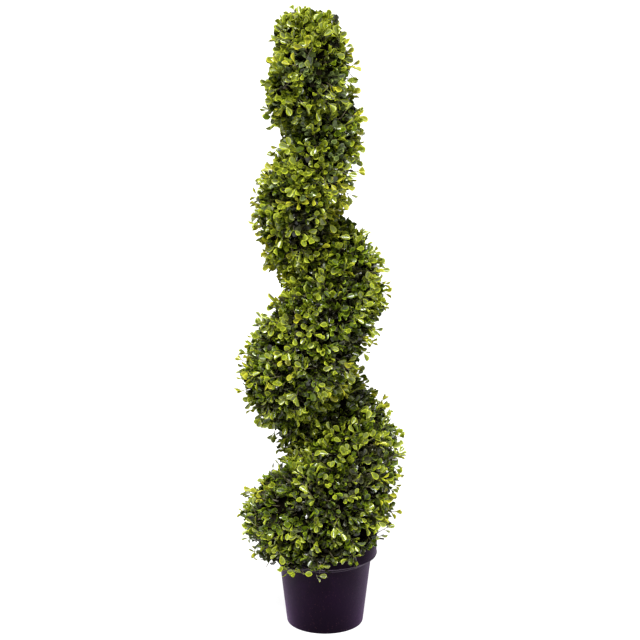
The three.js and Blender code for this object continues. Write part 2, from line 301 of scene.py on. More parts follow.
POT_PLASTIC = GrainyFinish(
    name="pot_plastic",
    dark=(0.0005, 0.0001, 0.0007),
    light=(0.0058, 0.0009, 0.0078),
    speck=(0.046, 0.018, 0.022),
    rough=(0.40, 0.52),
    relief=0.00016,
    mottle_scale=26.0,
    speck_scale=300.0,
    speck_size=0.12,
    ior=1.12,
    sheen=0.19,
    sheen_tint=(0.60, 0.25, 0.82),
    # Painted shade: the pot darkens towards its foot.
    shade_height=0.115,
    foot_shade=(0.25, 1.3),
)
# Painted highlight along the bead at the collar's foot and the line below it.
POT_HIGHLIGHT = GrainyFinish(
    name="pot_painted_highlight",
    dark=(0.030, 0.019, 0.035),
    light=(0.085, 0.062, 0.095),
    speck=(0.020, 0.010, 0.020),
    rough=(0.35, 0.5),
    relief=0.0001,
    specular=0.2,
)
FILLING_CEMENT = GrainyFinish(
    name="filling_cement",
    dark=(0.035, 0.029, 0.024),
    light=(0.11, 0.095, 0.08),
    speck=(0.20, 0.17, 0.14),
    rough=(0.85, 1.0),
    relief=0.0012,
    grain_scale=420.0,
    mottle_scale=60.0,
    speck_size=0.22,
)
TRUNK_BARK = GrainyFinish(
    name="trunk_bark",
    dark=(0.045, 0.030, 0.019),
    light=(0.17, 0.115, 0.07),
    speck=(0.03, 0.02, 0.013),
    rough=(0.7, 0.95),
    relief=0.0009,
    grain_scale=300.0,
    speck_scale=240.0,
    speck_size=0.16,
    stretch=(1.0, 1.0, 0.2),
)
# Backing mat, as artificial topiary has, made near black as painted shade deep in the foliage.
SHADE_MAT_PLASTIC = GrainyFinish(
    name="backing_mat_painted_shade",
    dark=(0.0012, 0.0006, 0.0006),
    light=(0.0036, 0.0024, 0.0014),
    speck=(0.0070, 0.0090, 0.0030),
    rough=(0.7, 0.9),
    relief=0.0015,
    grain_scale=260.0,
    mottle_scale=70.0,
    speck_scale=180.0,
    specular=0.02,
)
SPRIG_GREEN = PlainFinish("sprig_green", (0.065, 0.052, 0.022), 0.5)
BOUGH_BROWN = PlainFinish("bough_brown", (0.05, 0.042, 0.022), 0.65)
FLOOR_WHITE = PlainFinish("floor_white", (0.3, 0.3, 0.3), 0.9, 0.0, 0.86)


@dataclass(frozen=True)
class LeafFinish:
    """Leaves of one tint: colours of the blade and the rim, the roughness of each, and their gloss."""

    blade: Colour
    rim: Colour
    rough: tuple[float, float]
    gloss: float = 0.66

    def build(self, tint: str) -> list[Material]:
        """Makes the materials.

        Args:
            tint: Name of the tint.

        Returns:
            The blade's and the rim's material, in the order of the leaf's parts.
        """
        blade = PlainFinish(f"leaf_{tint}", self.blade, self.rough[0], self.gloss)
        rim = PlainFinish(f"rim_{tint}", self.rim, self.rough[1], self.gloss)
        return [blade.build(), rim.build()]


# Each rim is lighter than its blade: partly the leaf's own edge, partly painted highlight.
LEAF_FINISHES: dict[LeafTint, LeafFinish] = {
    LeafTint.YELLOW: LeafFinish((0.119, 0.15, 0.006), (0.295, 0.335, 0.018), (0.32, 0.36)),
    LeafTint.LIME: LeafFinish((0.0622, 0.093, 0.0018), (0.182, 0.245, 0.0085), (0.31, 0.34)),
    LeafTint.FRESH: LeafFinish((0.0336, 0.0532, 0.0007), (0.1237, 0.174, 0.0045), (0.31, 0.34)),
    LeafTint.MIDDLE: LeafFinish((0.0176, 0.0266, 0.0007), (0.0778, 0.1089, 0.0027), (0.30, 0.33)),
    LeafTint.DEEP: LeafFinish((0.0124, 0.0135, 0.0026), (0.0556, 0.0564, 0.0101), (0.30, 0.33)),
    LeafTint.GREY: LeafFinish((0.0197, 0.0218, 0.0098), (0.0686, 0.076, 0.023), (0.29, 0.33)),
    LeafTint.SHADE: LeafFinish((0.0042, 0.0034, 0.0012), (0.009, 0.008, 0.002), (0.6, 0.6), 0.06),
    # Golden leaves of painted backlight on the outline.
    LeafTint.BACKLIT_GOLD: LeafFinish((0.19, 0.2, 0.008), (0.36, 0.36, 0.02), (0.42, 0.42), 0.3),
    # Pale, bluish leaves of painted sheen on the crown.
    LeafTint.PALE_SHEEN: LeafFinish((0.049, 0.069, 0.015), (0.158, 0.206, 0.056), (0.31, 0.34)),
}

FINISHES: dict[str, Material] = {}


# Joining many small copies


@dataclass(frozen=True)
class Shape:
    """A small triangulated shape to be copied many times, with the part that each triangle belongs to."""

    corners: Array
    triangles: Array
    parts: Array

    @staticmethod
    def from_bmesh(bm: BMesh) -> "Shape":
        """Reads a bmesh as a shape and frees it.

        Args:
            bm: The modelled shape.

        Returns:
            The shape, with its faces triangulated.
        """
        bmesh.ops.triangulate(bm, faces=bm.faces)
        bm.verts.index_update()
        corners = np.array([vertex.co[:] for vertex in bm.verts])
        triangles = np.array([[vertex.index for vertex in face.verts] for face in bm.faces])
        parts = np.array([face.material_index for face in bm.faces])
        bm.free()
        return Shape(corners, triangles, parts)


@dataclass
class Copies:
    """Copies of shapes as corners, triangles and material numbers, collected to be joined into one mesh."""

    batches: list[tuple[Array, Array, Array]] = field(default_factory=list)
    count: int = 0

    def add(self, shape: Shape, axes: Array, origins: Array, tints: Array, parts: int) -> None:
        """Adds one copy of a shape for each row of the arrays.

        Args:
            shape: The shape to copy.
            axes: Scaled x, y and z axes of the copies, as (copies, 3, 3) with an axis in each row.
            origins: Places of the copies' origins, in millimetres.
            tints: Tint number of each copy.
            parts: Number of materials that each tint has.
        """
        number = len(origins)
        corners = np.einsum("vi,nij->nvj", shape.corners, axes) + origins[:, None, :]
        first = self.count + np.arange(number)[:, None, None] * len(shape.corners)
        triangles = (shape.triangles[None] + first).reshape(-1, 3)
        numbers = (shape.parts[None] + tints[:, None] * parts).reshape(-1)
        self.batches.append((corners.reshape(-1, 3), triangles, numbers))
        self.count += number * len(shape.corners)

    def build(self, name: str, materials: list[Material]) -> Piece:
        """Joins the copies into one object.

        Args:
            name: Name of the piece.
            materials: Materials in the order of the copies' numbers.

        Returns:
            The new object.
        """
        corners, triangles, numbers = (np.concatenate(part) for part in zip(*self.batches))
        mesh = bpy.data.meshes.new(name)
        mesh.vertices.add(len(corners))
        mesh.loops.add(triangles.size)
        mesh.polygons.add(len(triangles))
        mesh.vertices.foreach_set("co", (corners * MM).astype(np.float32).ravel())
        mesh.loops.foreach_set("vertex_index", triangles.astype(np.int32).ravel())
        mesh.polygons.foreach_set("loop_start", np.arange(0, triangles.size, 3, dtype=np.int32))
        mesh.polygons.foreach_set("material_index", numbers.astype(np.int32))
        mesh.polygons.foreach_set("use_smooth", np.ones(len(triangles), dtype=bool))
        for material in materials:
            mesh.materials.append(material)
        mesh.update(calc_edges=True)
        return add_object(name, mesh)


def add_object(name: str, data: bpy.types.ID) -> Piece:
    """Makes an object and puts it in the scene.

    Args:
        name: Name of the object.
        data: Its mesh, lamp or lens.

    Returns:
        The new object.
    """
    piece = bpy.data.objects.new(name, data)
    bpy.context.scene.collection.objects.link(piece)
    return piece


def build_piece(name: str, bm: BMesh, materials: list[Material]) -> Piece:
    """Makes an object from a bmesh in metres, with outward normals.

    Args:
        name: Name of the piece.
        bm: The modelled mesh, which is freed.
        materials: Materials in the order of the faces' material numbers.

    Returns:
        The new object.
    """
    bmesh.ops.remove_doubles(bm, verts=bm.verts, dist=MERGE_DISTANCE)
    bmesh.ops.recalc_face_normals(bm, faces=bm.faces)
    mesh = bpy.data.meshes.new(name)
    bm.to_mesh(mesh)
    bm.free()
    for material in materials:
        mesh.materials.append(material)
    mesh.polygons.foreach_set("use_smooth", np.ones(len(mesh.polygons), dtype=bool))
    return add_object(name, mesh)


def build_tube(sides: int, rings: int) -> BMesh:
    """Makes a closed tube to be bent into shape, one high round the origin and of radius one.

    Args:
        sides: Number of sides.
        rings: Number of stretches that it is cut into along Z.

    Returns:
        The mesh.
    """
    bm = bmesh.new()
    bmesh.ops.create_cone(
        bm, cap_ends=True, segments=sides, radius1=1, radius2=1, depth=1, matrix=Matrix.Identity(4)
    )
    upright = [edge for edge in bm.edges if edge.verts[0].co.z * edge.verts[1].co.z < 0]
    bmesh.ops.subdivide_edges(bm, edges=upright, cuts=rings - 1)
    return bm


def sort_faces(bm: BMesh) -> None:
    """Puts faces in the order of their corners, because a spin gives them in another order each run.

    Args:
        bm: The spun mesh.
    """
    bm.verts.index_update()
    by_corners = sorted(bm.faces, key=lambda face: sorted(vertex.index for vertex in face.verts))
    for i, face in enumerate(by_corners):
        face.index = i
    bm.faces.sort()


def noise_at(points: Array, size: float) -> Array:
    """Gives smooth noise between -1 and 1 at points, in lumps of a size in millimetres."""
    return np.array([noise.noise(Vector(point) / size) for point in points])


def hand_over(piece: Piece, slot: Slot, *nodes: str) -> None:
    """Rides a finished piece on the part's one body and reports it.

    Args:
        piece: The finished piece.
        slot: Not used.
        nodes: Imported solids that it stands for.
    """
    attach(piece, "root")
    if nodes:
        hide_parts(*nodes)
    LOG.info("%s: %d faces", piece.name, len(piece.data.polygons))


# The spiral and the space round it


@dataclass(frozen=True)
class Pole:
    """Trunk: a slim pole with a flare at its foot, leaning to the left."""

    lean: float = -0.0302
    lean_foot: float = 40.0
    foot: float = 121.3
    top: float = 872.0
    flare_radius: float = 16.0
    flare_height: float = 26.0
    foot_radius: float = 9.5
    tip_radius: float = 4.5

    def x(self, height: Array) -> Array:
        """Gives the sideways place of the trunk's middle line at a height."""
        return self.lean * (height - self.lean_foot)

    def radius(self, height: Array) -> Array:
        """Gives the trunk's radius.

        Args:
            height: Heights above the ground.

        Returns:
            The radii.
        """
        share = (height - self.foot) / (self.top - self.foot)
        flare = np.maximum(0.0, 1 - (height - self.foot) / self.flare_height)
        slim = self.foot_radius + (self.tip_radius - self.foot_radius) * share
        return slim + (self.flare_radius - self.foot_radius) * flare**2


@dataclass(frozen=True)
class Spiral:
    """Centre line of the foliage and its reach, counted in half turns: 0 is the first bulge on the left."""

    pole: Pole = Pole()
    start: float = -2.1
    end: float = 7.5
    heights: tuple[float, ...] = (112, 118, 146, 167, 260, 396, 527, 634, 752, 806, 860, 896)
    first_height_at: float = -3.0
    offset_low: float = 37.0
    offset_high: float = 18.0
    narrows_from: float = 420.0
    narrows_to: float = 720.0
    reach_low: float = 88.0
    less_at_top: float = 35.0
    reach_from: float = 150.0
    reach_to: float = 880.0
    start_taper: float = 0.1
    end_from: float = 6.5
    end_taper: float = 0.06
    step: float = 0.01
    sample_step: float = 0.04
    coil_spacing: float = 0.6

    def height(self, u: Array) -> Array:
        """Gives the height of the centre line, on a smooth curve through the heights of the half turns.

        Args:
            u: Places along the spiral.

        Returns:
            The heights.
        """
        heights = np.array(self.heights)
        place = np.asarray(u, float) - self.first_height_at
        i = np.clip(np.floor(place).astype(int), 0, len(heights) - 2)
        w = place - i
        before = heights[np.maximum(i - 1, 0)]
        low = heights[i]
        high = heights[i + 1]
        after = heights[np.minimum(i + 2, len(heights) - 1)]
        slope_low = (high - before) / 2
        slope_high = (after - low) / 2
        cubic = 2 * low - 2 * high + slope_low + slope_high
        square = -3 * low + 3 * high - 2 * slope_low - slope_high
        return ((cubic * w + square) * w + slope_low) * w + low

    def centre(self, u: Array) -> Array:
        """Gives the points of the centre line.

        Args:
            u: Places along the spiral.

        Returns:
            The points, as (places, 3).
        """
        height = self.height(u)
        share = np.clip((height - self.narrows_from) / (self.narrows_to - self.narrows_from), 0, 1)
        narrow = share * share * (3 - 2 * share)
        offset = self.offset_low + (self.offset_high - self.offset_low) * narrow
        turn = np.pi * (1 + np.asarray(u, float))
        x = self.pole.x(height) + offset * np.cos(turn)
        return np.stack([x, offset * np.sin(turn), height], axis=-1)

    def radius(self, u: Array) -> Array:
        """Gives the reach of the foliage from the centre line, out to the leaf tips.

        Args:
            u: Places along the spiral.

        Returns:
            The reaches.
        """
        share = (self.height(u) - self.reach_from) / (self.reach_to - self.reach_from)
        full = self.reach_low - self.less_at_top * share**2
        at_start = self.start_taper * np.maximum(0, -np.asarray(u))
        at_end = self.end_taper * np.maximum(0, np.asarray(u) - self.end_from)
        return full * (1 - at_start - at_end)

    def out(self, u: Array, directions: Array, distance: Array) -> Array:
        """Gives points out of the centre line, each in its direction and at its distance."""
        return self.centre(u) + directions * distance[:, None]

    def frame(self, u: Array) -> tuple[Array, Array, Array]:
        """Gives the directions along the spiral, away from the trunk, and across both.

        Args:
            u: Places along the spiral.

        Returns:
            Three arrays of unit vectors.
        """
        along = unit(self.centre(u + self.step) - self.centre(u - self.step))
        turn = np.pi * (1 + np.asarray(u, float))
        level = np.stack([np.cos(turn), np.sin(turn), np.zeros_like(turn)], axis=-1)
        outward = unit(level - along * np.sum(level * along, axis=-1, keepdims=True))
        return along, outward, np.cross(outward, along)

    def distances(self, points: Array) -> tuple[Array, Array]:
        """Gives places all along the spiral, and how far each point is from each place."""
        u = np.arange(self.start, self.end + self.sample_step / 2, self.sample_step)
        return u, np.linalg.norm(points[:, None, :] - self.centre(u)[None], axis=-1)


def unit(vectors: Array) -> Array:
    """Gives the vectors at length one."""
    return vectors / np.linalg.norm(vectors, axis=-1, keepdims=True)


@dataclass(frozen=True)
class Mass:
    """A mass of foliage: its name and its stretch of the spiral."""

    name: str
    start: float
    end: float
    capped: bool = False

    def middle(self) -> float:
        """Gives the middle of the stretch."""
        return (self.start + self.end) / 2

    def at(self, share: Array) -> Array:
        """Gives the places at shares of the stretch."""
        return self.start + (self.end - self.start) * share


def list_masses(spiral: Spiral) -> list[Mass]:
    """Lists the masses as in the part's source: the foot on the pot's rim, the half turns and the tip.

    Args:
        spiral: The spiral.

    Returns:
        The masses from the foot up.
    """
    half_turns = 7
    masses = [Mass("foliage_foot", spiral.start, -0.5)]
    for i in range(half_turns):
        masses.append(Mass(f"foliage_half_turn_{i + 1}", i - 0.5, i + 0.5))
    masses.append(Mass("foliage_tip", half_turns - 0.5, spiral.end, capped=True))
    return masses


@dataclass(frozen=True)
class FoliageSpace:
    """Space that foliage may fill: off the pot, the trunk and the other coils, above a sloping foot."""

    spiral: Spiral
    rim_radius: float = 79.6
    pot_top: float = 138.8
    foot: float = 104.0
    foot_slope: float = 0.18
    foot_rise: float = 0.6
    foot_rises_from: float = 45.0
    left_drop: float = 0.18
    left_rise: float = 0.8
    left_rises_from: float = 90.0
    trunk_gap: float = 3.0
    ceiling: float = 928.5
    low_overlap: float = 14.0
    high_overlap: float = 4.0
    overlap_from: float = 0.8
    overlap_to: float = 2.2
    march_step: float = 2.0
    least_reach: float = 14.0

    def is_free(self, points: Array) -> Array:
        """Says which points foliage may fill: off the pot and the trunk, between foot and ceiling.

        Args:
            points: Points, as (points, 3).

        Returns:
            One truth value for each point.
        """
        x, y, z = points[..., 0], points[..., 1], points[..., 2]
        pole = self.spiral.pole
        from_trunk = np.hypot(x - pole.x(z), y)
        off_trunk = (z > pole.top + self.trunk_gap) | (from_trunk > pole.radius(z) + self.trunk_gap)
        off_pot = (np.hypot(x, y) > self.rim_radius) | (z > self.pot_top)
        return off_trunk & off_pot & self.is_above_foot(points) & (z < self.ceiling)

    def is_above_foot(self, points: Array) -> Array:
        """Says which points are above the foliage's foot, which slopes and rises to both sides.

        Args:
            points: Points, as (points, 3).

        Returns:
            One truth value for each point.
        """
        x = points[..., 0]
        foot = self.foot + self.foot_slope * np.maximum(x, 0) - self.left_drop * np.maximum(-x, 0)
        foot += self.foot_rise * np.maximum(x - self.foot_rises_from, 0)
        foot += self.left_rise * np.maximum(-x - self.left_rises_from, 0)
        return points[..., 2] > foot

    def coil_distance(self, points: Array, u: Array) -> Array:
        """Gives the distance from points to the coils of the spiral that are not near u.

        Args:
            points: Points, as (points, 3).
            u: Place along the spiral that each point belongs to.

        Returns:
            The distances.
        """
        sample_u, apart = self.spiral.distances(points)
        apart[np.abs(sample_u[None] - u[:, None]) <= self.spiral.coil_spacing] = np.inf
        return apart.min(axis=1)

    def depth(self, points: Array) -> Array:
        """Gives how deep points lie below the foliage's outside, for the coil that covers each most."""
        sample_u, apart = self.spiral.distances(points)
        return (self.spiral.radius(sample_u)[None] - apart).max(axis=1)

    def own_stretch(self, u: Array, directions: Array, reach: Array) -> tuple[Array, Array]:
        """Gives the outermost free stretch along a line out of the spiral.

        Args:
            u: Places along the spiral that the lines start from.
            directions: Directions of the lines.
            reach: How far the lines go.

        Returns:
            Distances from the centre line to the stretch's inner and outer end, zero if none is free.
        """
        middle = self.spiral.centre(u)
        distances = np.arange(self.march_step, reach.max() + self.march_step, self.march_step)
        free = np.zeros((len(distances), len(u)), bool)
        overlap = np.interp(u, (self.overlap_from, self.overlap_to), (self.low_overlap, self.high_overlap))
        for i, distance in enumerate(distances):
            points = middle + directions * distance
            own = self.coil_distance(points, u) > distance - overlap
            free[i] = self.is_free(points) & own & (distance <= reach)
        last = len(distances) - 1 - np.argmax(free[::-1], axis=0)
        outer = np.where(free.any(axis=0), distances[last], 0.0)
        inner = outer.copy()
        going = free.any(axis=0)
        for i in range(len(distances) - 1, -1, -1):
            going &= free[i] | (i > last)
            inner = np.where(going & (i <= last), distances[i], inner)
        outer = np.where(outer >= reach - self.march_step, reach, outer)
        return inner, outer


# Leaves and sticks

STICK_SIDE = np.array([0.31, 0.87, 0.38])


@dataclass(frozen=True)
class LeafShape:
    """A spoon-shaped leaf on a short stalk. It lies along +Y, faces +Z and has its root at the origin."""

    length: float = 12.2
    width: float = 7.6
    stalk: float = 2.8
    stalk_radius: float = 0.55
    stalk_sides: int = 3
    stalk_in_leaf: float = 0.6
    sides: int = 10
    plain_sides: int = 7
    rim: float = 0.95
    cup: float = 2.4
    hollow: float = 0.8
    foot_width: float = 0.38
    full_width_at: float = 0.6
    droop: float = 1.1
    widest_power: float = 0.72

    def outline(self, sides: int) -> BMesh:
        """Makes a flat disc in the leaf's outline.

        Args:
            sides: Number of corners.

        Returns:
            The mesh.
        """
        bm = bmesh.new()
        bmesh.ops.create_circle(bm, cap_ends=True, segments=sides, radius=1.0)
        for vertex in bm.verts:
            share = max(0.0, (vertex.co.y + 1) / 2) ** self.widest_power
            vertex.co.y = self.stalk + share * self.length
            widening = (1 - self.foot_width) * min(1.0, share / self.full_width_at)
            vertex.co.x *= self.width / 2 * (self.foot_width + widening)
        return bm

    def bend(self, bm: BMesh) -> None:
        """Cups the leaf across its middle and lets its tip droop.

        Args:
            bm: The flat leaf.
        """
        for vertex in bm.verts:
            across = vertex.co.x / (self.width / 2)
            along = (vertex.co.y - self.stalk) / self.length
            vertex.co.z += self.cup * across**2 - self.droop * max(0.0, along) ** 2

    def face_up(self, bm: BMesh) -> None:
        """Turns over the faces that look down."""
        bmesh.ops.reverse_faces(bm, faces=[face for face in bm.faces if face.normal.z < 0])

    def build_full(self) -> Shape:
        """Makes the outer leaf, with a rim, a hollow middle and a stalk.

        Returns:
            The shape.
        """
        bm = self.outline(self.sides)
        inset = bmesh.ops.inset_region(
            bm, faces=bm.faces, thickness=self.rim, use_boundary=True, use_even_offset=True
        )
        for face in inset["faces"]:
            face.material_index = LeafPart.RIM.value
        middle = [face for face in bm.faces if face not in inset["faces"]]
        poked = bmesh.ops.poke(bm, faces=middle)
        self.bend(bm)
        for vertex in poked["verts"]:
            vertex.co.z -= self.hollow
        self.face_up(bm)
        length = self.stalk * (1 + self.stalk_in_leaf)
        bmesh.ops.create_cone(
            bm,
            cap_ends=False,
            segments=self.stalk_sides,
            radius1=self.stalk_radius,
            radius2=self.stalk_radius,
            depth=length,
            matrix=Matrix.Translation((0, length / 2, 0)) @ Matrix.Rotation(math.pi / 2, 4, "X"),
        )
        return Shape.from_bmesh(bm)

    def build_plain(self) -> Shape:
        """Makes the inner leaf, a bent outline without a rim.

        Returns:
            The shape.
        """
        bm = self.outline(self.plain_sides)
        bmesh.ops.poke(bm, faces=bm.faces)
        self.bend(bm)
        self.face_up(bm)
        return Shape.from_bmesh(bm)


def build_stick(sides: int, taper: float) -> Shape:
    """Makes a closed stick of length one along +Z.

    Args:
        sides: Number of sides.
        taper: Radius of the top. The foot's is one.

    Returns:
        The shape.
    """
    bm = bmesh.new()
    middle = Matrix.Translation((0, 0, 0.5))
    bmesh.ops.create_cone(
        bm, cap_ends=True, segments=sides, radius1=1.0, radius2=taper, depth=1.0, matrix=middle
    )
    return Shape.from_bmesh(bm)


def stick_axes(starts: Array, ends: Array, radius: float) -> Array:
    """Gives the axes of sticks between points.

    Args:
        starts: Feet of the sticks.
        ends: Tops of the sticks.
        radius: Radius of their feet.

    Returns:
        The axes, as (sticks, 3, 3).
    """
    along = ends - starts
    side = unit(np.cross(along, STICK_SIDE))
    across = unit(np.cross(along, side))
    return np.stack([side * radius, across * radius, along], axis=1)


# Foliage


@dataclass(frozen=True)
class SprigRule:
    """How twigs and sprigs branch in a mass and what leaves they carry, in millimetres and degrees.

    Pairs of leaves are told as distance from the sprig's tip, angle to the sprig and size, painted light
    bands as height, spread and how much lighter the sprays are there, painted shade where that is negative.
    """

    area_per_twig: float = 2950.0
    area_per_sprig: float = 94.0
    first_twig_at: float = 4.2
    twig_crowding: float = 0.9
    sprig_crowding: float = 0.5
    crowding_passes: int = 12
    sprig_length: float = 36.0
    twig_share: float = 0.6
    turn_spread: float = 0.16
    bend_spread: float = 6.0
    bend_back: float = 0.35
    bend_root_share: float = 0.3
    root_shares: tuple[float, float] = (0.25, 0.9)
    own_root_share: float = 0.35
    tip_depth: float = 16.5
    tip_range: float = 15.5
    tip_power: float = 0.8
    most_buried: float = 34.0
    lump: float = 3.0
    lump_size: float = 34.0
    stray_share: float = 0.23
    stray_reach: float = 11.0
    stray_spacing: float = 1.7
    stray_size: float = 1.05
    stray_chances: tuple[float, ...] = (0.86, 0.4)
    stray_inner_chance: float = 0.3
    # Painted light: how much lighter the sprigs that stick out are.
    stray_painted_light: float = 0.45
    crown_corner: float = 0.24
    crown_from: float = 5.7
    crown_full: float = 6.6
    foot_jitter: float = 18.0
    hang_middle: float = 0.6
    hang_noise: float = 0.7
    hang_random: float = 0.4
    hang_size: float = 11.0
    leaf_chance: float = 0.93
    outer_pairs: tuple[tuple[float, float, float], ...] = ((0.0, 26.0, 0.9), (3.5, 50.0, 1.02))
    middle_pairs: tuple[tuple[float, float, float], ...] = ((8.5, 62.0, 1.05),)
    inner_pairs: tuple[tuple[float, float, float], ...] = ((15.0, 66.0, 1.1), (22.0, 72.0, 1.1))
    pair_jitter: float = 0.35
    angle_spread: float = 24.0
    roll_spread: float = 1.0
    size_spread: float = 0.22
    size_heights: tuple[float, ...] = (150.0, 500.0, 800.0)
    sizes_there: tuple[float, ...] = (0.95, 1.02, 1.12)
    tint_limits: tuple[float, ...] = (0.02, 0.27, 0.55, 0.76, 0.89)
    # Painted shade: how much darker the deeper sprays are.
    depth_painted_shade: float = 0.05
    patch_size: float = 45.0
    patch_share: float = 0.35
    painted_light_bands: tuple[tuple[float, float, float], ...] = (
        (905.0, 50.0, 1.1),
        (815.0, 35.0, 0.25),
        (727.0, 40.0, 0.5),
        (366.0, 40.0, -0.15),
        (272.0, 38.0, -0.3),
        (120.0, 28.0, -0.3),
    )
    # Painted backlight: shares of golden strays, anywhere and at the sides.
    backlit_gold_share: float = 0.02
    backlit_gold_at_sides: float = 0.9
    backlit_gold_power: int = 6
    # Painted sheen: patch size, and how the pale tints rise with height.
    pale_sheen_size: float = 14.0
    pale_sheen_heights: tuple[float, ...] = (600.0, 790.0)
    pale_sheen_there: tuple[float, ...] = (-0.65, 0.3)
    young_chance: float = 0.6
    old_chance: float = 0.5
    sprig_radius: float = 1.0
    sprig_sides: int = 3
    sprig_thins: float = 0.8
    twig_radius: float = 1.9
    twig_sides: int = 5
    bough_radius: float = 3.4
    bough_sides: int = 6
    bough_steps: int = 8
    bough_dips: float = 8.0
    taper: float = 0.7


@dataclass(frozen=True)
class Swell:
    """A height at which the right side, 1, or the left side, -1, stands out further or less far."""

    height: float
    spread: float
    side: int
    amount: float


SWELLS = (
    Swell(882.0, 26.0, 1, -11.0),
    Swell(800.0, 50.0, -1, -11.0),
    Swell(795.0, 32.0, 1, 8.0),
    Swell(720.0, 25.0, 1, -3.0),
    Swell(712.0, 22.0, -1, -6.0),
    Swell(635.0, 30.0, 1, -13.0),
    Swell(600.0, 45.0, -1, -9.0),
    Swell(455.0, 18.0, 1, -6.0),
    Swell(440.0, 35.0, -1, -4.0),
    Swell(400.0, 20.0, 1, 5.0),
    Swell(320.0, 20.0, 1, 4.0),
    Swell(305.0, 25.0, -1, -4.0),
    Swell(240.0, 75.0, 1, 4.0),
    Swell(160.0, 35.0, 1, 7.0),
    Swell(155.0, 40.0, -1, 7.0),
)


@dataclass
class Sprigs:
    """Sprigs of a mass: where they root, bend and end, and the direction in which they end.

    The depths say how deep the tips lie, the strays which sprigs stick out, and the hangs how far above the
    foliage's foot their leaves end.
    """

    roots: Array
    bends: Array
    tips: Array
    directions: Array
    depths: Array
    strays: Array
    hangs: Array

    def points_on(self, back: Array) -> Array:
        """Gives a point on each sprig, round its bend and no further than its root.

        Args:
            back: Distance of each point from the sprig's tip.

        Returns:
            The points.
        """
        outer = np.linalg.norm(self.tips - self.bends, axis=1)
        inner = np.linalg.norm(self.bends - self.roots, axis=1)
        outer_share = np.clip(back / outer, 0, 1)[:, None]
        inner_share = np.clip((back - outer) / inner, 0, 1)[:, None]
        return self.tips + (self.bends - self.tips) * outer_share + (self.roots - self.bends) * inner_share


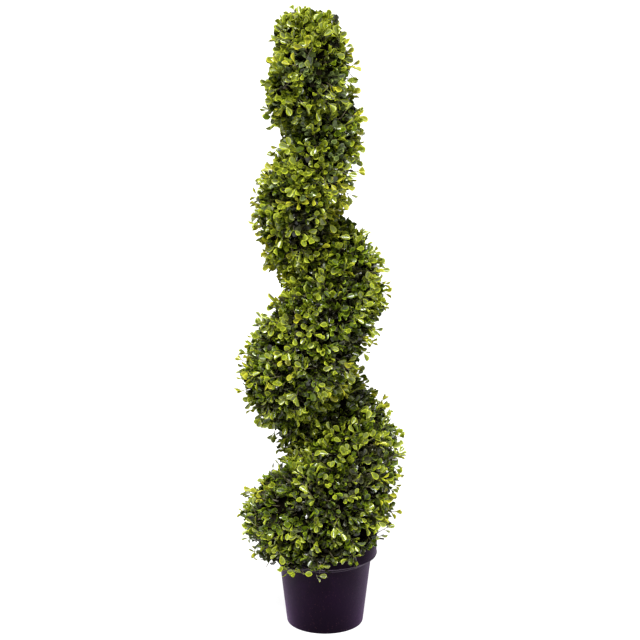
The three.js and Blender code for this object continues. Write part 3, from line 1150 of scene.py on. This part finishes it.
@dataclass
class Foliage:
    """One mass of foliage: backing mat, bough, twigs, sprigs and leaves.

    In a capped mass the mat narrows over the last part of its stretch, which mat_cap tells.
    """

    mass: Mass
    spiral: Spiral
    space: FoliageSpace
    rule: SprigRule
    random: np.random.Generator
    mat_sides: int = 28
    mat_steps: int = 12
    mat_depth: float = 31.0
    mat_relief: float = 3.0
    mat_grain: float = 9.0
    mat_cap: float = 0.35
    mat_cap_least: float = 0.04

    def name(self, kind: str) -> str:
        """Gives the name of the mass's piece of a kind."""
        return self.mass.name.replace("foliage", kind)

    def run(self) -> tuple[float, float]:
        """Measures the mass.

        Returns:
            The length of its stretch and of its rounded end, zero where it has none.
        """
        marks = self.spiral.centre(np.linspace(self.mass.start, self.mass.end, 3))
        length = float(np.linalg.norm(np.diff(marks, axis=0), axis=1).sum())
        return length, float(self.spiral.radius(self.mass.middle())) if self.mass.capped else 0.0

    def places(self, area: float, crowding: float) -> tuple[Array, Array]:
        """Spreads places over the mass's surface by the golden angle.

        Args:
            area: Area in square millimetres for each place.
            crowding: How much closer they stand on the spiral's outer side.

        Returns:
            Places along the spiral and directions out of it.
        """
        length, cap_length = self.run()
        radius = float(self.spiral.radius(self.mass.middle()))
        count = round(2 * math.pi * radius * (length + cap_length) / area)
        i = np.arange(count)
        run = (i + 0.5) / count * (length + cap_length)
        u = self.mass.at(np.minimum(1, run / length))
        tilt = np.arcsin(np.clip((run - length) / radius, 0, 1))
        even = i * GOLDEN_ANGLE + self.rule.first_twig_at
        turn = even.copy()
        for _ in range(self.rule.crowding_passes):
            turn = even - crowding * np.sin(turn)
        return u, self.directions(u, turn, tilt)

    def directions(self, u: Array, turn: Array, tilt: Array) -> Array:
        """Gives the directions out of the spiral.

        Args:
            u: Places along the spiral.
            turn: Angles round the spiral, from its outer side.
            tilt: Angles towards its end.

        Returns:
            Unit vectors.
        """
        along, outward, across = self.spiral.frame(u)
        flat = outward * np.cos(turn)[:, None] + across * np.sin(turn)[:, None]
        return flat * np.cos(tilt)[:, None] + along * np.sin(tilt)[:, None]

    def build_mat(self) -> None:
        """Makes the backing mat that the sprigs are set in, a near-black closed shell of painted shade deep
        in the foliage.
        """
        bm = build_tube(self.mat_sides, round((self.mass.end - self.mass.start) * self.mat_steps))
        bmesh.ops.poke(bm, faces=[face for face in bm.faces if len(face.verts) == self.mat_sides])
        flat = np.array([vertex.co[:] for vertex in bm.verts])
        share = np.clip(flat[:, 2] + 0.5, 0, 1)
        u = self.mass.at(share)
        turn = np.arctan2(flat[:, 1], flat[:, 0])
        directions = self.directions(u, turn, np.zeros_like(u))
        _, outer = self.space.own_stretch(u, directions, self.reach(u, directions))
        radial = np.hypot(flat[:, 0], flat[:, 1])
        depth = np.maximum(outer - self.mat_depth, self.space.least_reach / 2) * radial
        if self.mass.capped:
            depth *= np.sqrt(np.clip((1 - share) / self.mat_cap, self.mat_cap_least, 1))
        points = self.spiral.out(u, directions, depth)
        bumps = noise_at(points, self.mat_grain) * self.mat_relief
        for vertex, point, bump in zip(bm.verts, points, bumps):
            vertex.co = (Vector(point) + Vector((bump, -bump, bump))) * MM
        hand_over(build_piece(self.name("mat"), bm, [FINISHES[SHADE_MAT_PLASTIC.name]]), Slot.FOLIAGE)

    def grow_twigs(self) -> tuple[Array, Array]:
        """Grows the mass's twigs by the part's own rule, out of the bough on the spiral's centre line.

        Returns:
            Roots and tips of the twigs.
        """
        u, directions = self.places(self.rule.area_per_twig, self.rule.twig_crowding)
        reach = self.reach(u, directions) - self.rule.sprig_length * self.rule.twig_share
        inner, outer = self.space.own_stretch(u, directions, reach)
        kept = outer > self.space.least_reach
        roots, tips = (self.spiral.out(u, directions, distance)[kept] for distance in (inner, outer))
        return roots, tips

    def reach(self, u: Array, directions: Array) -> Array:
        """Gives how far the foliage reaches from the spiral, with the swells.

        The crown reaches further between level and upright, which makes its top broad and flat.

        Args:
            u: Places along the spiral.
            directions: Directions out of it.

        Returns:
            The reaches.
        """
        rule = self.rule
        plain = self.spiral.radius(u)
        crown = np.interp(u, (rule.crown_from, rule.crown_full), (0, rule.crown_corner))
        rise = np.clip(directions[:, 2], 0, 1) ** 2
        reach = plain * (1 + crown * (4 * rise * (1 - rise)) ** 2)
        heights = self.spiral.height(u) + plain * directions[:, 2]
        for swell in SWELLS:
            near = np.exp(-(((heights - swell.height) / swell.spread) ** 2))
            reach += swell.amount * near * np.clip(swell.side * directions[:, 0], 0, 1)
        return reach

    def grow_sprigs(self, twig_roots: Array, twig_tips: Array) -> Sprigs:
        """Grows finer sprigs that fan out from the twigs to the foliage's outside.

        Args:
            twig_roots: Roots of the twigs.
            twig_tips: Tips of the twigs.

        Returns:
            The sprigs.
        """
        rule = self.rule
        u, directions = self.places(rule.area_per_sprig, rule.sprig_crowding)
        number = len(u)
        directions = unit(directions + self.random.normal(0, rule.turn_spread, (number, 3)))
        stray = self.random.random(number) < rule.stray_share
        outside = self.reach(u, directions)
        lumps = noise_at(self.spiral.out(u, directions, outside), rule.lump_size)
        depth = rule.tip_depth + rule.tip_range * self.random.random(number) ** rule.tip_power
        depth = np.where(stray, rule.tip_depth - rule.stray_reach * self.random.random(number), depth)
        inner, outer = self.space.own_stretch(u, directions, outside - depth + rule.lump * lumps)
        tips = self.spiral.out(u, directions, outer)
        hangs = self.hang(tips)
        lowest = tips - np.array([0, 0, 1]) * hangs[:, None]
        kept = (outer > self.space.least_reach) & (self.space.depth(tips) < rule.most_buried + depth)
        kept &= self.space.is_above_foot(lowest)
        u, directions, tips = u[kept], directions[kept], tips[kept]
        inner, outer, depth = inner[kept], outer[kept], depth[kept]
        own = self.spiral.out(u, directions, np.maximum(inner, outer - rule.sprig_length))
        near = np.linalg.norm(own[:, None, :] - (twig_roots + twig_tips)[None] / 2, axis=-1).argmin(axis=1)
        share = self.random.uniform(*rule.root_shares, len(u))[:, None]
        roots = twig_roots[near] * (1 - share) + twig_tips[near] * share
        roots = own * rule.own_root_share + roots * (1 - rule.own_root_share)
        roots = np.where(self.space.is_free(roots)[:, None], roots, own)
        straight = tips - directions * rule.sprig_length * rule.bend_back
        bends = roots * rule.bend_root_share + straight * (1 - rule.bend_root_share)
        bends += self.random.normal(0, rule.bend_spread, bends.shape)
        return Sprigs(roots, bends, tips, unit(tips - bends), depth, stray[kept], hangs[kept])

    def build_wood(self, sprigs: Sprigs, leafy: Array, twigs: tuple[Array, Array]) -> Piece:
        """Makes the bough along the spiral, its stem to the trunk, the twigs and the sprigs as one piece.

        Args:
            sprigs: The sprigs.
            leafy: Which sprigs carry leaves near their tips. The others are left out.
            twigs: Roots and tips of the twigs.

        Returns:
            The piece.
        """
        rule = self.rule
        lowest = self.space.pot_top - rule.bough_dips
        bough = self.spiral.centre(np.linspace(self.mass.start, self.mass.end, rule.bough_steps + 1))
        stem_end = self.spiral.centre(np.array([self.mass.middle()]))
        for points in (bough, stem_end):
            points[:, 2] = np.maximum(points[:, 2], lowest)
        stem_start = stem_end.copy()
        stem_start[:, 0] = self.spiral.pole.x(stem_start[:, 2])
        stem_start[:, 1] = 0
        thick = build_stick(rule.bough_sides, 1.0)
        slim = build_stick(rule.twig_sides, rule.taper)
        thin = build_stick(rule.sprig_sides, rule.taper)
        runs = [
            (thick, stem_start, stem_end, rule.bough_radius, 1),
            (thick, bough[:-1], bough[1:], rule.bough_radius, 1),
            (slim, *twigs, rule.twig_radius, 1),
            (thin, sprigs.roots[leafy], sprigs.bends[leafy], rule.sprig_radius, 0),
            (thin, sprigs.bends[leafy], sprigs.tips[leafy], rule.sprig_radius * rule.sprig_thins, 0),
        ]
        copies = Copies()
        for shape, starts, ends, radius, material in runs:
            copies.add(shape, stick_axes(starts, ends, radius), starts, np.full(len(starts), material), 1)
        return copies.build(self.name("sprigs"), [FINISHES[SPRIG_GREEN.name], FINISHES[BOUGH_BROWN.name]])

    def leaf_frames(self, sprigs: Sprigs, pairs: tuple[tuple[float, ...], ...]) -> tuple[Array, ...]:
        """Sets pairs of leaves on the sprigs, each pair a quarter turn from the last.

        Args:
            sprigs: The sprigs.
            pairs: For each pair its distance from the tip, its angle to the sprig and its size.

        Returns:
            Axes and origins of the leaves, and the numbers of their sprigs and pairs.
        """
        rule = self.rule
        uniform = self.random.uniform
        number = len(sprigs.tips)
        side = unit(np.cross(sprigs.directions, self.random.normal(0, 1, (number, 3))))
        across = np.cross(sprigs.directions, side)
        frames = []
        for rank, (back, angle, size) in enumerate(pairs):
            for half in range(2):
                turn = rank * math.pi / 2 + half * math.pi
                turn = turn + uniform(-rule.pair_jitter, rule.pair_jitter, number)
                away = side * np.cos(turn)[:, None] + across * np.sin(turn)[:, None]
                spread = np.radians(angle + rule.angle_spread * uniform(-1, 1, number))[:, None]
                blade = sprigs.directions * np.cos(spread) + away * np.sin(spread)
                face = sprigs.directions * np.sin(spread) - away * np.cos(spread)
                roll = uniform(-rule.roll_spread, rule.roll_spread, number)[:, None]
                width = np.cross(blade, face)
                turned_width = width * np.cos(roll) + face * np.sin(roll)
                turned_face = face * np.cos(roll) - width * np.sin(roll)
                scale = size * (1 + rule.size_spread * uniform(-1, 1, number))
                scale *= np.where(sprigs.strays, rule.stray_size, 1.0)
                scale *= np.interp(sprigs.tips[:, 2], rule.size_heights, rule.sizes_there)
                axes = np.stack([turned_width, blade, turned_face], axis=1) * scale[:, None, None]
                stretch = np.where(sprigs.strays, rule.stray_spacing, 1.0)
                origins = sprigs.points_on(back * stretch)
                frames.append((axes, origins, np.arange(number), np.full(number, rank)))
        return tuple(np.concatenate(part) for part in zip(*frames))

    def spray_tints(self, sprigs: Sprigs) -> Array:
        """Deals out a tint to each spray, by chance, in broad patches, with painted shade inside and
        painted light on strays.

        Args:
            sprigs: The sprigs.

        Returns:
            Tint numbers.
        """
        rule = self.rule
        heights = sprigs.tips[:, 2]
        middle = rule.tip_depth + rule.tip_range / 2
        draw = self.random.random(len(heights)) - rule.patch_share * noise_at(sprigs.tips, rule.patch_size)
        # Painted shade on deeper sprigs and painted light on the sprigs that stick out.
        draw += rule.depth_painted_shade * (sprigs.depths - middle) - rule.stray_painted_light * sprigs.strays
        # Painted light high on the crown, painted shade in bands lower down.
        for height, spread, lightens in rule.painted_light_bands:
            draw -= lightens * np.exp(-(((heights - height) / spread) ** 2))
        tints = np.searchsorted(rule.tint_limits, draw)
        # Painted sheen: pale tints in patches, more of them high on the crown.
        sheen_lift = np.interp(heights, rule.pale_sheen_heights, rule.pale_sheen_there)
        sheened_sprays = noise_at(sprigs.tips, rule.pale_sheen_size) + sheen_lift > 0
        sheened_sprays &= np.isin(tints, (LeafTint.LIME.value, LeafTint.FRESH.value))
        tints = np.where(sheened_sprays, LeafTint.PALE_SHEEN.value, tints)
        # Painted backlight: golden tints on strays, mostly at the left and right sides.
        backlit_gold_chance = rule.backlit_gold_share + rule.backlit_gold_at_sides * sprigs.directions[:, 0] ** rule.backlit_gold_power
        backlit_gold_sprays = sprigs.strays & (self.random.random(len(heights)) < backlit_gold_chance)
        return np.where(backlit_gold_sprays, LeafTint.BACKLIT_GOLD.value, tints)

    def leaf_tints(
        self, tints: Array, ranks: Array, strays: Array, pairs: tuple[tuple[float, ...], ...]
    ) -> Array:
        """Makes the youngest leaves of a spray lighter, older ones darker and those inside nearly black as
        painted shade.

        Args:
            tints: Tint number of each leaf's spray.
            ranks: Number of each leaf's pair, counted from the tip.
            strays: Which leaves are on a stray sprig, where the oldest ones show too.
            pairs: The kind of pairs that the leaves belong to.

        Returns:
            Tint numbers of the leaves.
        """
        rule = self.rule
        backlit_gold_sprays = tints == LeafTint.BACKLIT_GOLD.value
        if pairs is rule.inner_pairs:
            lit = (ranks == 0) & (tints <= LeafTint.LIME.value) | strays
            return np.where(lit, LeafTint.DEEP.value, LeafTint.SHADE.value)
        if pairs is rule.middle_pairs:
            older = (self.random.random(len(ranks)) < rule.old_chance) & (tints < LeafTint.DEEP.value)
            return np.where(backlit_gold_sprays, LeafTint.MIDDLE.value, tints + older)
        young = (ranks == 0) & (self.random.random(len(ranks)) < rule.young_chance)
        return np.where(tints >= LeafTint.BACKLIT_GOLD.value, tints, np.maximum(tints - young, 0))

    def hang(self, tips: Array) -> Array:
        """Makes lobes with gaps between them along the foliage's foot.

        Args:
            tips: Tips of the sprigs.

        Returns:
            How far above the foot the leaves of each sprig end.
        """
        rule = self.rule
        lobes = noise_at(tips, rule.hang_size)
        chance = rule.hang_random * self.random.uniform(-0.5, 0.5, len(lobes))
        return rule.foot_jitter * np.clip(rule.hang_middle + rule.hang_noise * lobes + chance, 0, 1)

    def build_leaves(self, sprigs: Sprigs, materials: list[Material]) -> tuple[Piece, Array]:
        """Makes the mass's leaves as one piece.

        Args:
            sprigs: The sprigs.
            materials: Leaf finishes, in the order of tints and parts.

        Returns:
            The piece, and which sprigs carry leaves near their tips. Only those carry inner leaves.
        """
        rule = self.rule
        leaf = LeafShape()
        rimmed = leaf.build_full()
        plain = leaf.build_plain()
        tints = self.spray_tints(sprigs)
        leafy = np.zeros(len(sprigs.tips), bool)
        copies = Copies()
        groups = ((rimmed, rule.outer_pairs), (plain, rule.middle_pairs), (plain, rule.inner_pairs))
        for shape, pairs in groups:
            axes, origins, owners, ranks = self.leaf_frames(sprigs, pairs)
            strays = sprigs.strays[owners]
            far = origins + axes[:, 1] * leaf.length
            lowest = far - np.array([0, 0, 1]) * sprigs.hangs[owners, None]
            outer = pairs is rule.outer_pairs
            stray_chance = np.array(rule.stray_chances)[ranks] if outer else rule.stray_inner_chance
            kept = self.space.is_free(far) & self.space.is_above_foot(lowest)
            kept &= self.random.random(len(far)) < np.where(strays, stray_chance, rule.leaf_chance)
            if pairs is rule.inner_pairs:
                kept &= leafy[owners]
            leaf_tints = self.leaf_tints(tints[owners], ranks, strays, pairs)
            copies.add(shape, axes[kept], origins[kept], leaf_tints[kept], len(LeafPart))
            if pairs is not rule.inner_pairs:
                leafy[owners[kept]] = True
        return copies.build(self.name("leaves"), materials), leafy

    def build(self, leaf_materials: list[Material]) -> None:
        """Builds the whole mass and hands its pieces over.

        Args:
            leaf_materials: Leaf finishes, in the order of tints and parts.
        """
        self.build_mat()
        twigs = self.grow_twigs()
        sprigs = self.grow_sprigs(*twigs)
        leaves, leafy = self.build_leaves(sprigs, leaf_materials)
        hand_over(self.build_wood(sprigs, leafy, twigs), Slot.FOLIAGE)
        hand_over(leaves, Slot.FOLIAGE, self.mass.name)


# Trunk, pot and filling


@dataclass
class Trunk:
    """The trunk with furrowed bark.

    The furrows wind by one radian over their height and wander with the bumps. The bumps come from noise on
    a circle, which moves on by one for each bump height.
    """

    pole: Pole
    sides: int = 22
    ring_step: float = 9.0
    furrow: float = 0.5
    furrows: int = 5
    furrow_height: float = 70.0
    furrow_wander: float = 3.0
    bump: float = 0.4
    bump_height: float = 60.0
    bump_circle: float = 1.6

    def build(self) -> None:
        """Makes the trunk ring by ring and hands it over."""
        pole = self.pole
        length = pole.top - pole.foot
        bm = build_tube(self.sides, round(length / self.ring_step))
        for vertex in bm.verts:
            height = pole.foot + length * (vertex.co.z + 0.5)
            turn = math.atan2(vertex.co.y, vertex.co.x)
            x, y = math.cos(turn), math.sin(turn)
            circle = self.bump_circle
            wave = noise.noise(Vector((x * circle, y * circle, height / self.bump_height)))
            ridge = math.sin(self.furrows * turn + self.furrow_wander * wave + height / self.furrow_height)
            radius = float(pole.radius(height)) - self.furrow * (1 + ridge) / 2 + self.bump * wave
            vertex.co = Vector((pole.x(height) + radius * x, radius * y, height)) * MM
        piece = build_piece("trunk_bark", bm, [FINISHES[TRUNK_BARK.name]])
        hand_over(piece, Slot.TRUNK, "trunk")


@dataclass
class Pot:
    """The nursery pot: a tapered body, a collar with a bead along its foot, and a rounded rim."""

    base_radius: float = 57.8
    body_radius: float = 70.3
    collar_radius: float = 77.8
    rim_radius: float = 78.8
    collar_foot: float = 110.0
    height: float = 138.0
    wall: float = 2.4
    floor: float = 3.2
    foot_edge: float = 3.0
    recess: float = 1.6
    recess_edge: float = 11.0
    bead: float = 0.9
    bead_width: float = 0.9
    bead_inset: float = 0.1
    lip: float = 0.5
    lip_height: float = 0.6
    line_below: float = 5.0
    line_width: float = 1.0
    line_shape: tuple[tuple[float, float], ...] = ((-1, 0), (-0.5, 0.45), (0, 0.6), (0.5, 0.45), (1, 0))
    edge_depth: float = 1.0
    arc_steps: int = 4
    steps: int = 96
    sharp_angle: float = 50.0

    def body_at(self, height: float) -> float:
        """Gives the outer radius of the body at a height."""
        return self.base_radius + (self.body_radius - self.base_radius) * height / self.collar_foot

    def arc(
        self, middle: tuple[float, float], size: tuple[float, float], start: float, end: float
    ) -> list[tuple[float, float]]:
        """Gives an arc from one angle to another, in degrees, 0 at the bottom and 90 on the outside."""
        turns = np.radians(np.linspace(start, end, self.arc_steps + 1))
        return list(zip(middle[0] + size[0] * np.sin(turns), middle[1] - size[1] * np.cos(turns)))

    def profile(self) -> list[tuple[float, float]]:
        """Gives the turned outline from the middle of the underside round to the middle of the floor.

        Returns:
            Radii and heights in millimetres.
        """
        edge, bead, half_wall = self.foot_edge, self.bead, self.wall / 2
        recess = self.base_radius - self.recess_edge
        line = self.collar_foot - self.line_below
        under_lip = self.collar_foot - self.lip_height
        step = self.collar_foot + self.wall
        bead_middle = (self.collar_radius - self.bead_inset, self.collar_foot + bead)
        rim_middle = (self.rim_radius - half_wall, self.height - half_wall)
        return [
            (0.0, self.recess),
            (recess, self.recess),
            (recess + self.recess, 0.0),
            *self.arc((self.base_radius - edge, edge), (edge, edge), 0, 90),
            *((self.body_at(line + rise) + swell, line + rise) for rise, swell in self.line_shape),
            (self.body_at(under_lip), under_lip),
            (self.body_at(self.collar_foot) + self.lip, self.collar_foot),
            *self.arc(bead_middle, (bead * self.bead_width, bead), 0, 180),
            *self.arc(rim_middle, (half_wall, half_wall), 90, 270),
            (self.collar_radius - self.wall, step),
            (self.body_radius - self.wall, step),
            (self.base_radius - self.wall, self.floor),
            (0.0, self.floor),
        ]

    def build(self) -> None:
        """Turns the pot, paints a highlight on the bead and the line below it, and hands it over."""
        bm = bmesh.new()
        corners = [bm.verts.new((radius * MM, 0, height * MM)) for radius, height in self.profile()]
        edges = [bm.edges.new(pair) for pair in zip(corners[:-1], corners[1:])]
        bmesh.ops.spin(
            bm,
            geom=corners + edges,
            cent=(0, 0, 0),
            axis=(0, 0, 1),
            angle=2 * math.pi,
            steps=self.steps,
            use_merge=True,
        )
        sort_faces(bm)
        # Painted highlight: faces on the bead and the line take the lighter finish.
        for face in bm.faces:
            middle = face.calc_center_median() / MM
            up = middle.z - self.collar_foot
            out = middle.xy.length
            on_bead = 0 < up < 2 * self.bead and out > self.collar_radius - self.edge_depth
            on_line = abs(up + self.line_below) < self.line_width / 2 and out > self.body_radius - self.wall
            face.material_index = int(on_bead or on_line)
        piece = build_piece("pot_shell", bm, [FINISHES[POT_PLASTIC.name], FINISHES[POT_HIGHLIGHT.name]])
        piece.data.set_sharp_from_angle(angle=math.radians(self.sharp_angle))
        hand_over(piece, Slot.POT, "pot")


# Studio


@dataclass(frozen=True)
class SoftLight:
    """A distant soft light.

    Angles are in degrees: where it stands round the plant, 0 at the viewer and 90 on the right, its height
    above the floor and its width in the sky. Its strength is in watts for each square metre.
    """

    name: str
    azimuth: float
    elevation: float
    softness: float
    strength: float

    def build(self) -> None:
        """Makes the light."""
        lamp = bpy.data.lights.new(self.name, "SUN")
        lamp.angle = math.radians(self.softness)
        lamp.energy = self.strength
        light = add_object(self.name, lamp)
        light.rotation_euler = (math.radians(90 - self.elevation), 0, math.radians(self.azimuth))


@dataclass
class Studio:
    """White floor and surroundings, soft lights and the camera of the photo."""

    floor_size: float = 30.0
    world_strength: float = 0.15
    lens: float = 124.1
    sensor_width: float = 36.0
    camera_place: tuple[float, float, float] = (-0.0076, -3.12, 1.345)
    camera_pitch: float = 15.6
    lights: tuple[SoftLight, ...] = (
        SoftLight("key_light", -6, 56, 18, 6.4),
        SoftLight("top_light", 10, 72, 60, 2.2),
        SoftLight("back_light", 170, 45, 50, 0.8),
    )

    def build_floor(self) -> None:
        """Makes the floor."""
        bm = bmesh.new()
        bmesh.ops.create_grid(bm, x_segments=1, y_segments=1, size=self.floor_size / 2)
        floor = build_piece("floor", bm, [FINISHES[FLOOR_WHITE.name]])

    def build_world(self) -> None:
        """Makes the even white surroundings."""
        world = bpy.data.worlds.new("white_room")
        world.use_nodes = True
        background = world.node_tree.nodes["Background"]
        set_inputs(background, {"Color": (1, 1, 1, 1), "Strength": self.world_strength})
        bpy.context.scene.world = world

    def build_camera(self) -> None:
        """Makes the camera at the photo's viewing angle."""
        lens = bpy.data.cameras.new("photo_camera")
        lens.lens = self.lens
        lens.sensor_width = self.sensor_width
        camera = add_object("photo_camera", lens)
        camera.location = self.camera_place
        camera.rotation_euler = (math.radians(90 - self.camera_pitch), 0, 0)
        bpy.context.scene.camera = camera

    def build(self) -> None:
        """Builds the whole studio."""
        self.build_floor()
        self.build_world()
        for light in self.lights:
            light.build()
        self.build_camera()
        bpy.context.scene.view_settings.view_transform = "Standard"


def build_finishes() -> list[Material]:
    """Makes every finish and keeps it by name.

    Returns:
        The leaf finishes, in the order of tints and parts.
    """
    grain = build_grain_group()
    for finish in (POT_PLASTIC, POT_HIGHLIGHT, FILLING_CEMENT, TRUNK_BARK, SHADE_MAT_PLASTIC):
        FINISHES[finish.name] = finish.build(grain)
    for finish in (SPRIG_GREEN, BOUGH_BROWN, FLOOR_WHITE):
        FINISHES[finish.name] = finish.build()
    return [material for tint in LeafTint for material in LEAF_FINISHES[tint].build(tint.name.lower())]


def dress_filling() -> None:
    """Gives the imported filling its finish."""
    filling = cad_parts["pot_filling"]
    filling.data.materials.clear()
    filling.data.materials.append(FINISHES[FILLING_CEMENT.name])
    LOG.info("pot_filling dressed")


def main() -> None:
    """Builds the topiary and its studio in order."""
    logging.basicConfig(level=logging.INFO, format="%(message)s")
    leaf_materials = build_finishes()
    spiral = Spiral()
    space = FoliageSpace(spiral)
    Pot().build()
    dress_filling()
    Trunk(spiral.pole).build()
    random = np.random.default_rng(SEED)
    for mass in list_masses(spiral):
        Foliage(mass, spiral, space, SprigRule(), random).build(leaf_materials)
    Studio().build()


if __name__ == "__main__":
    main()
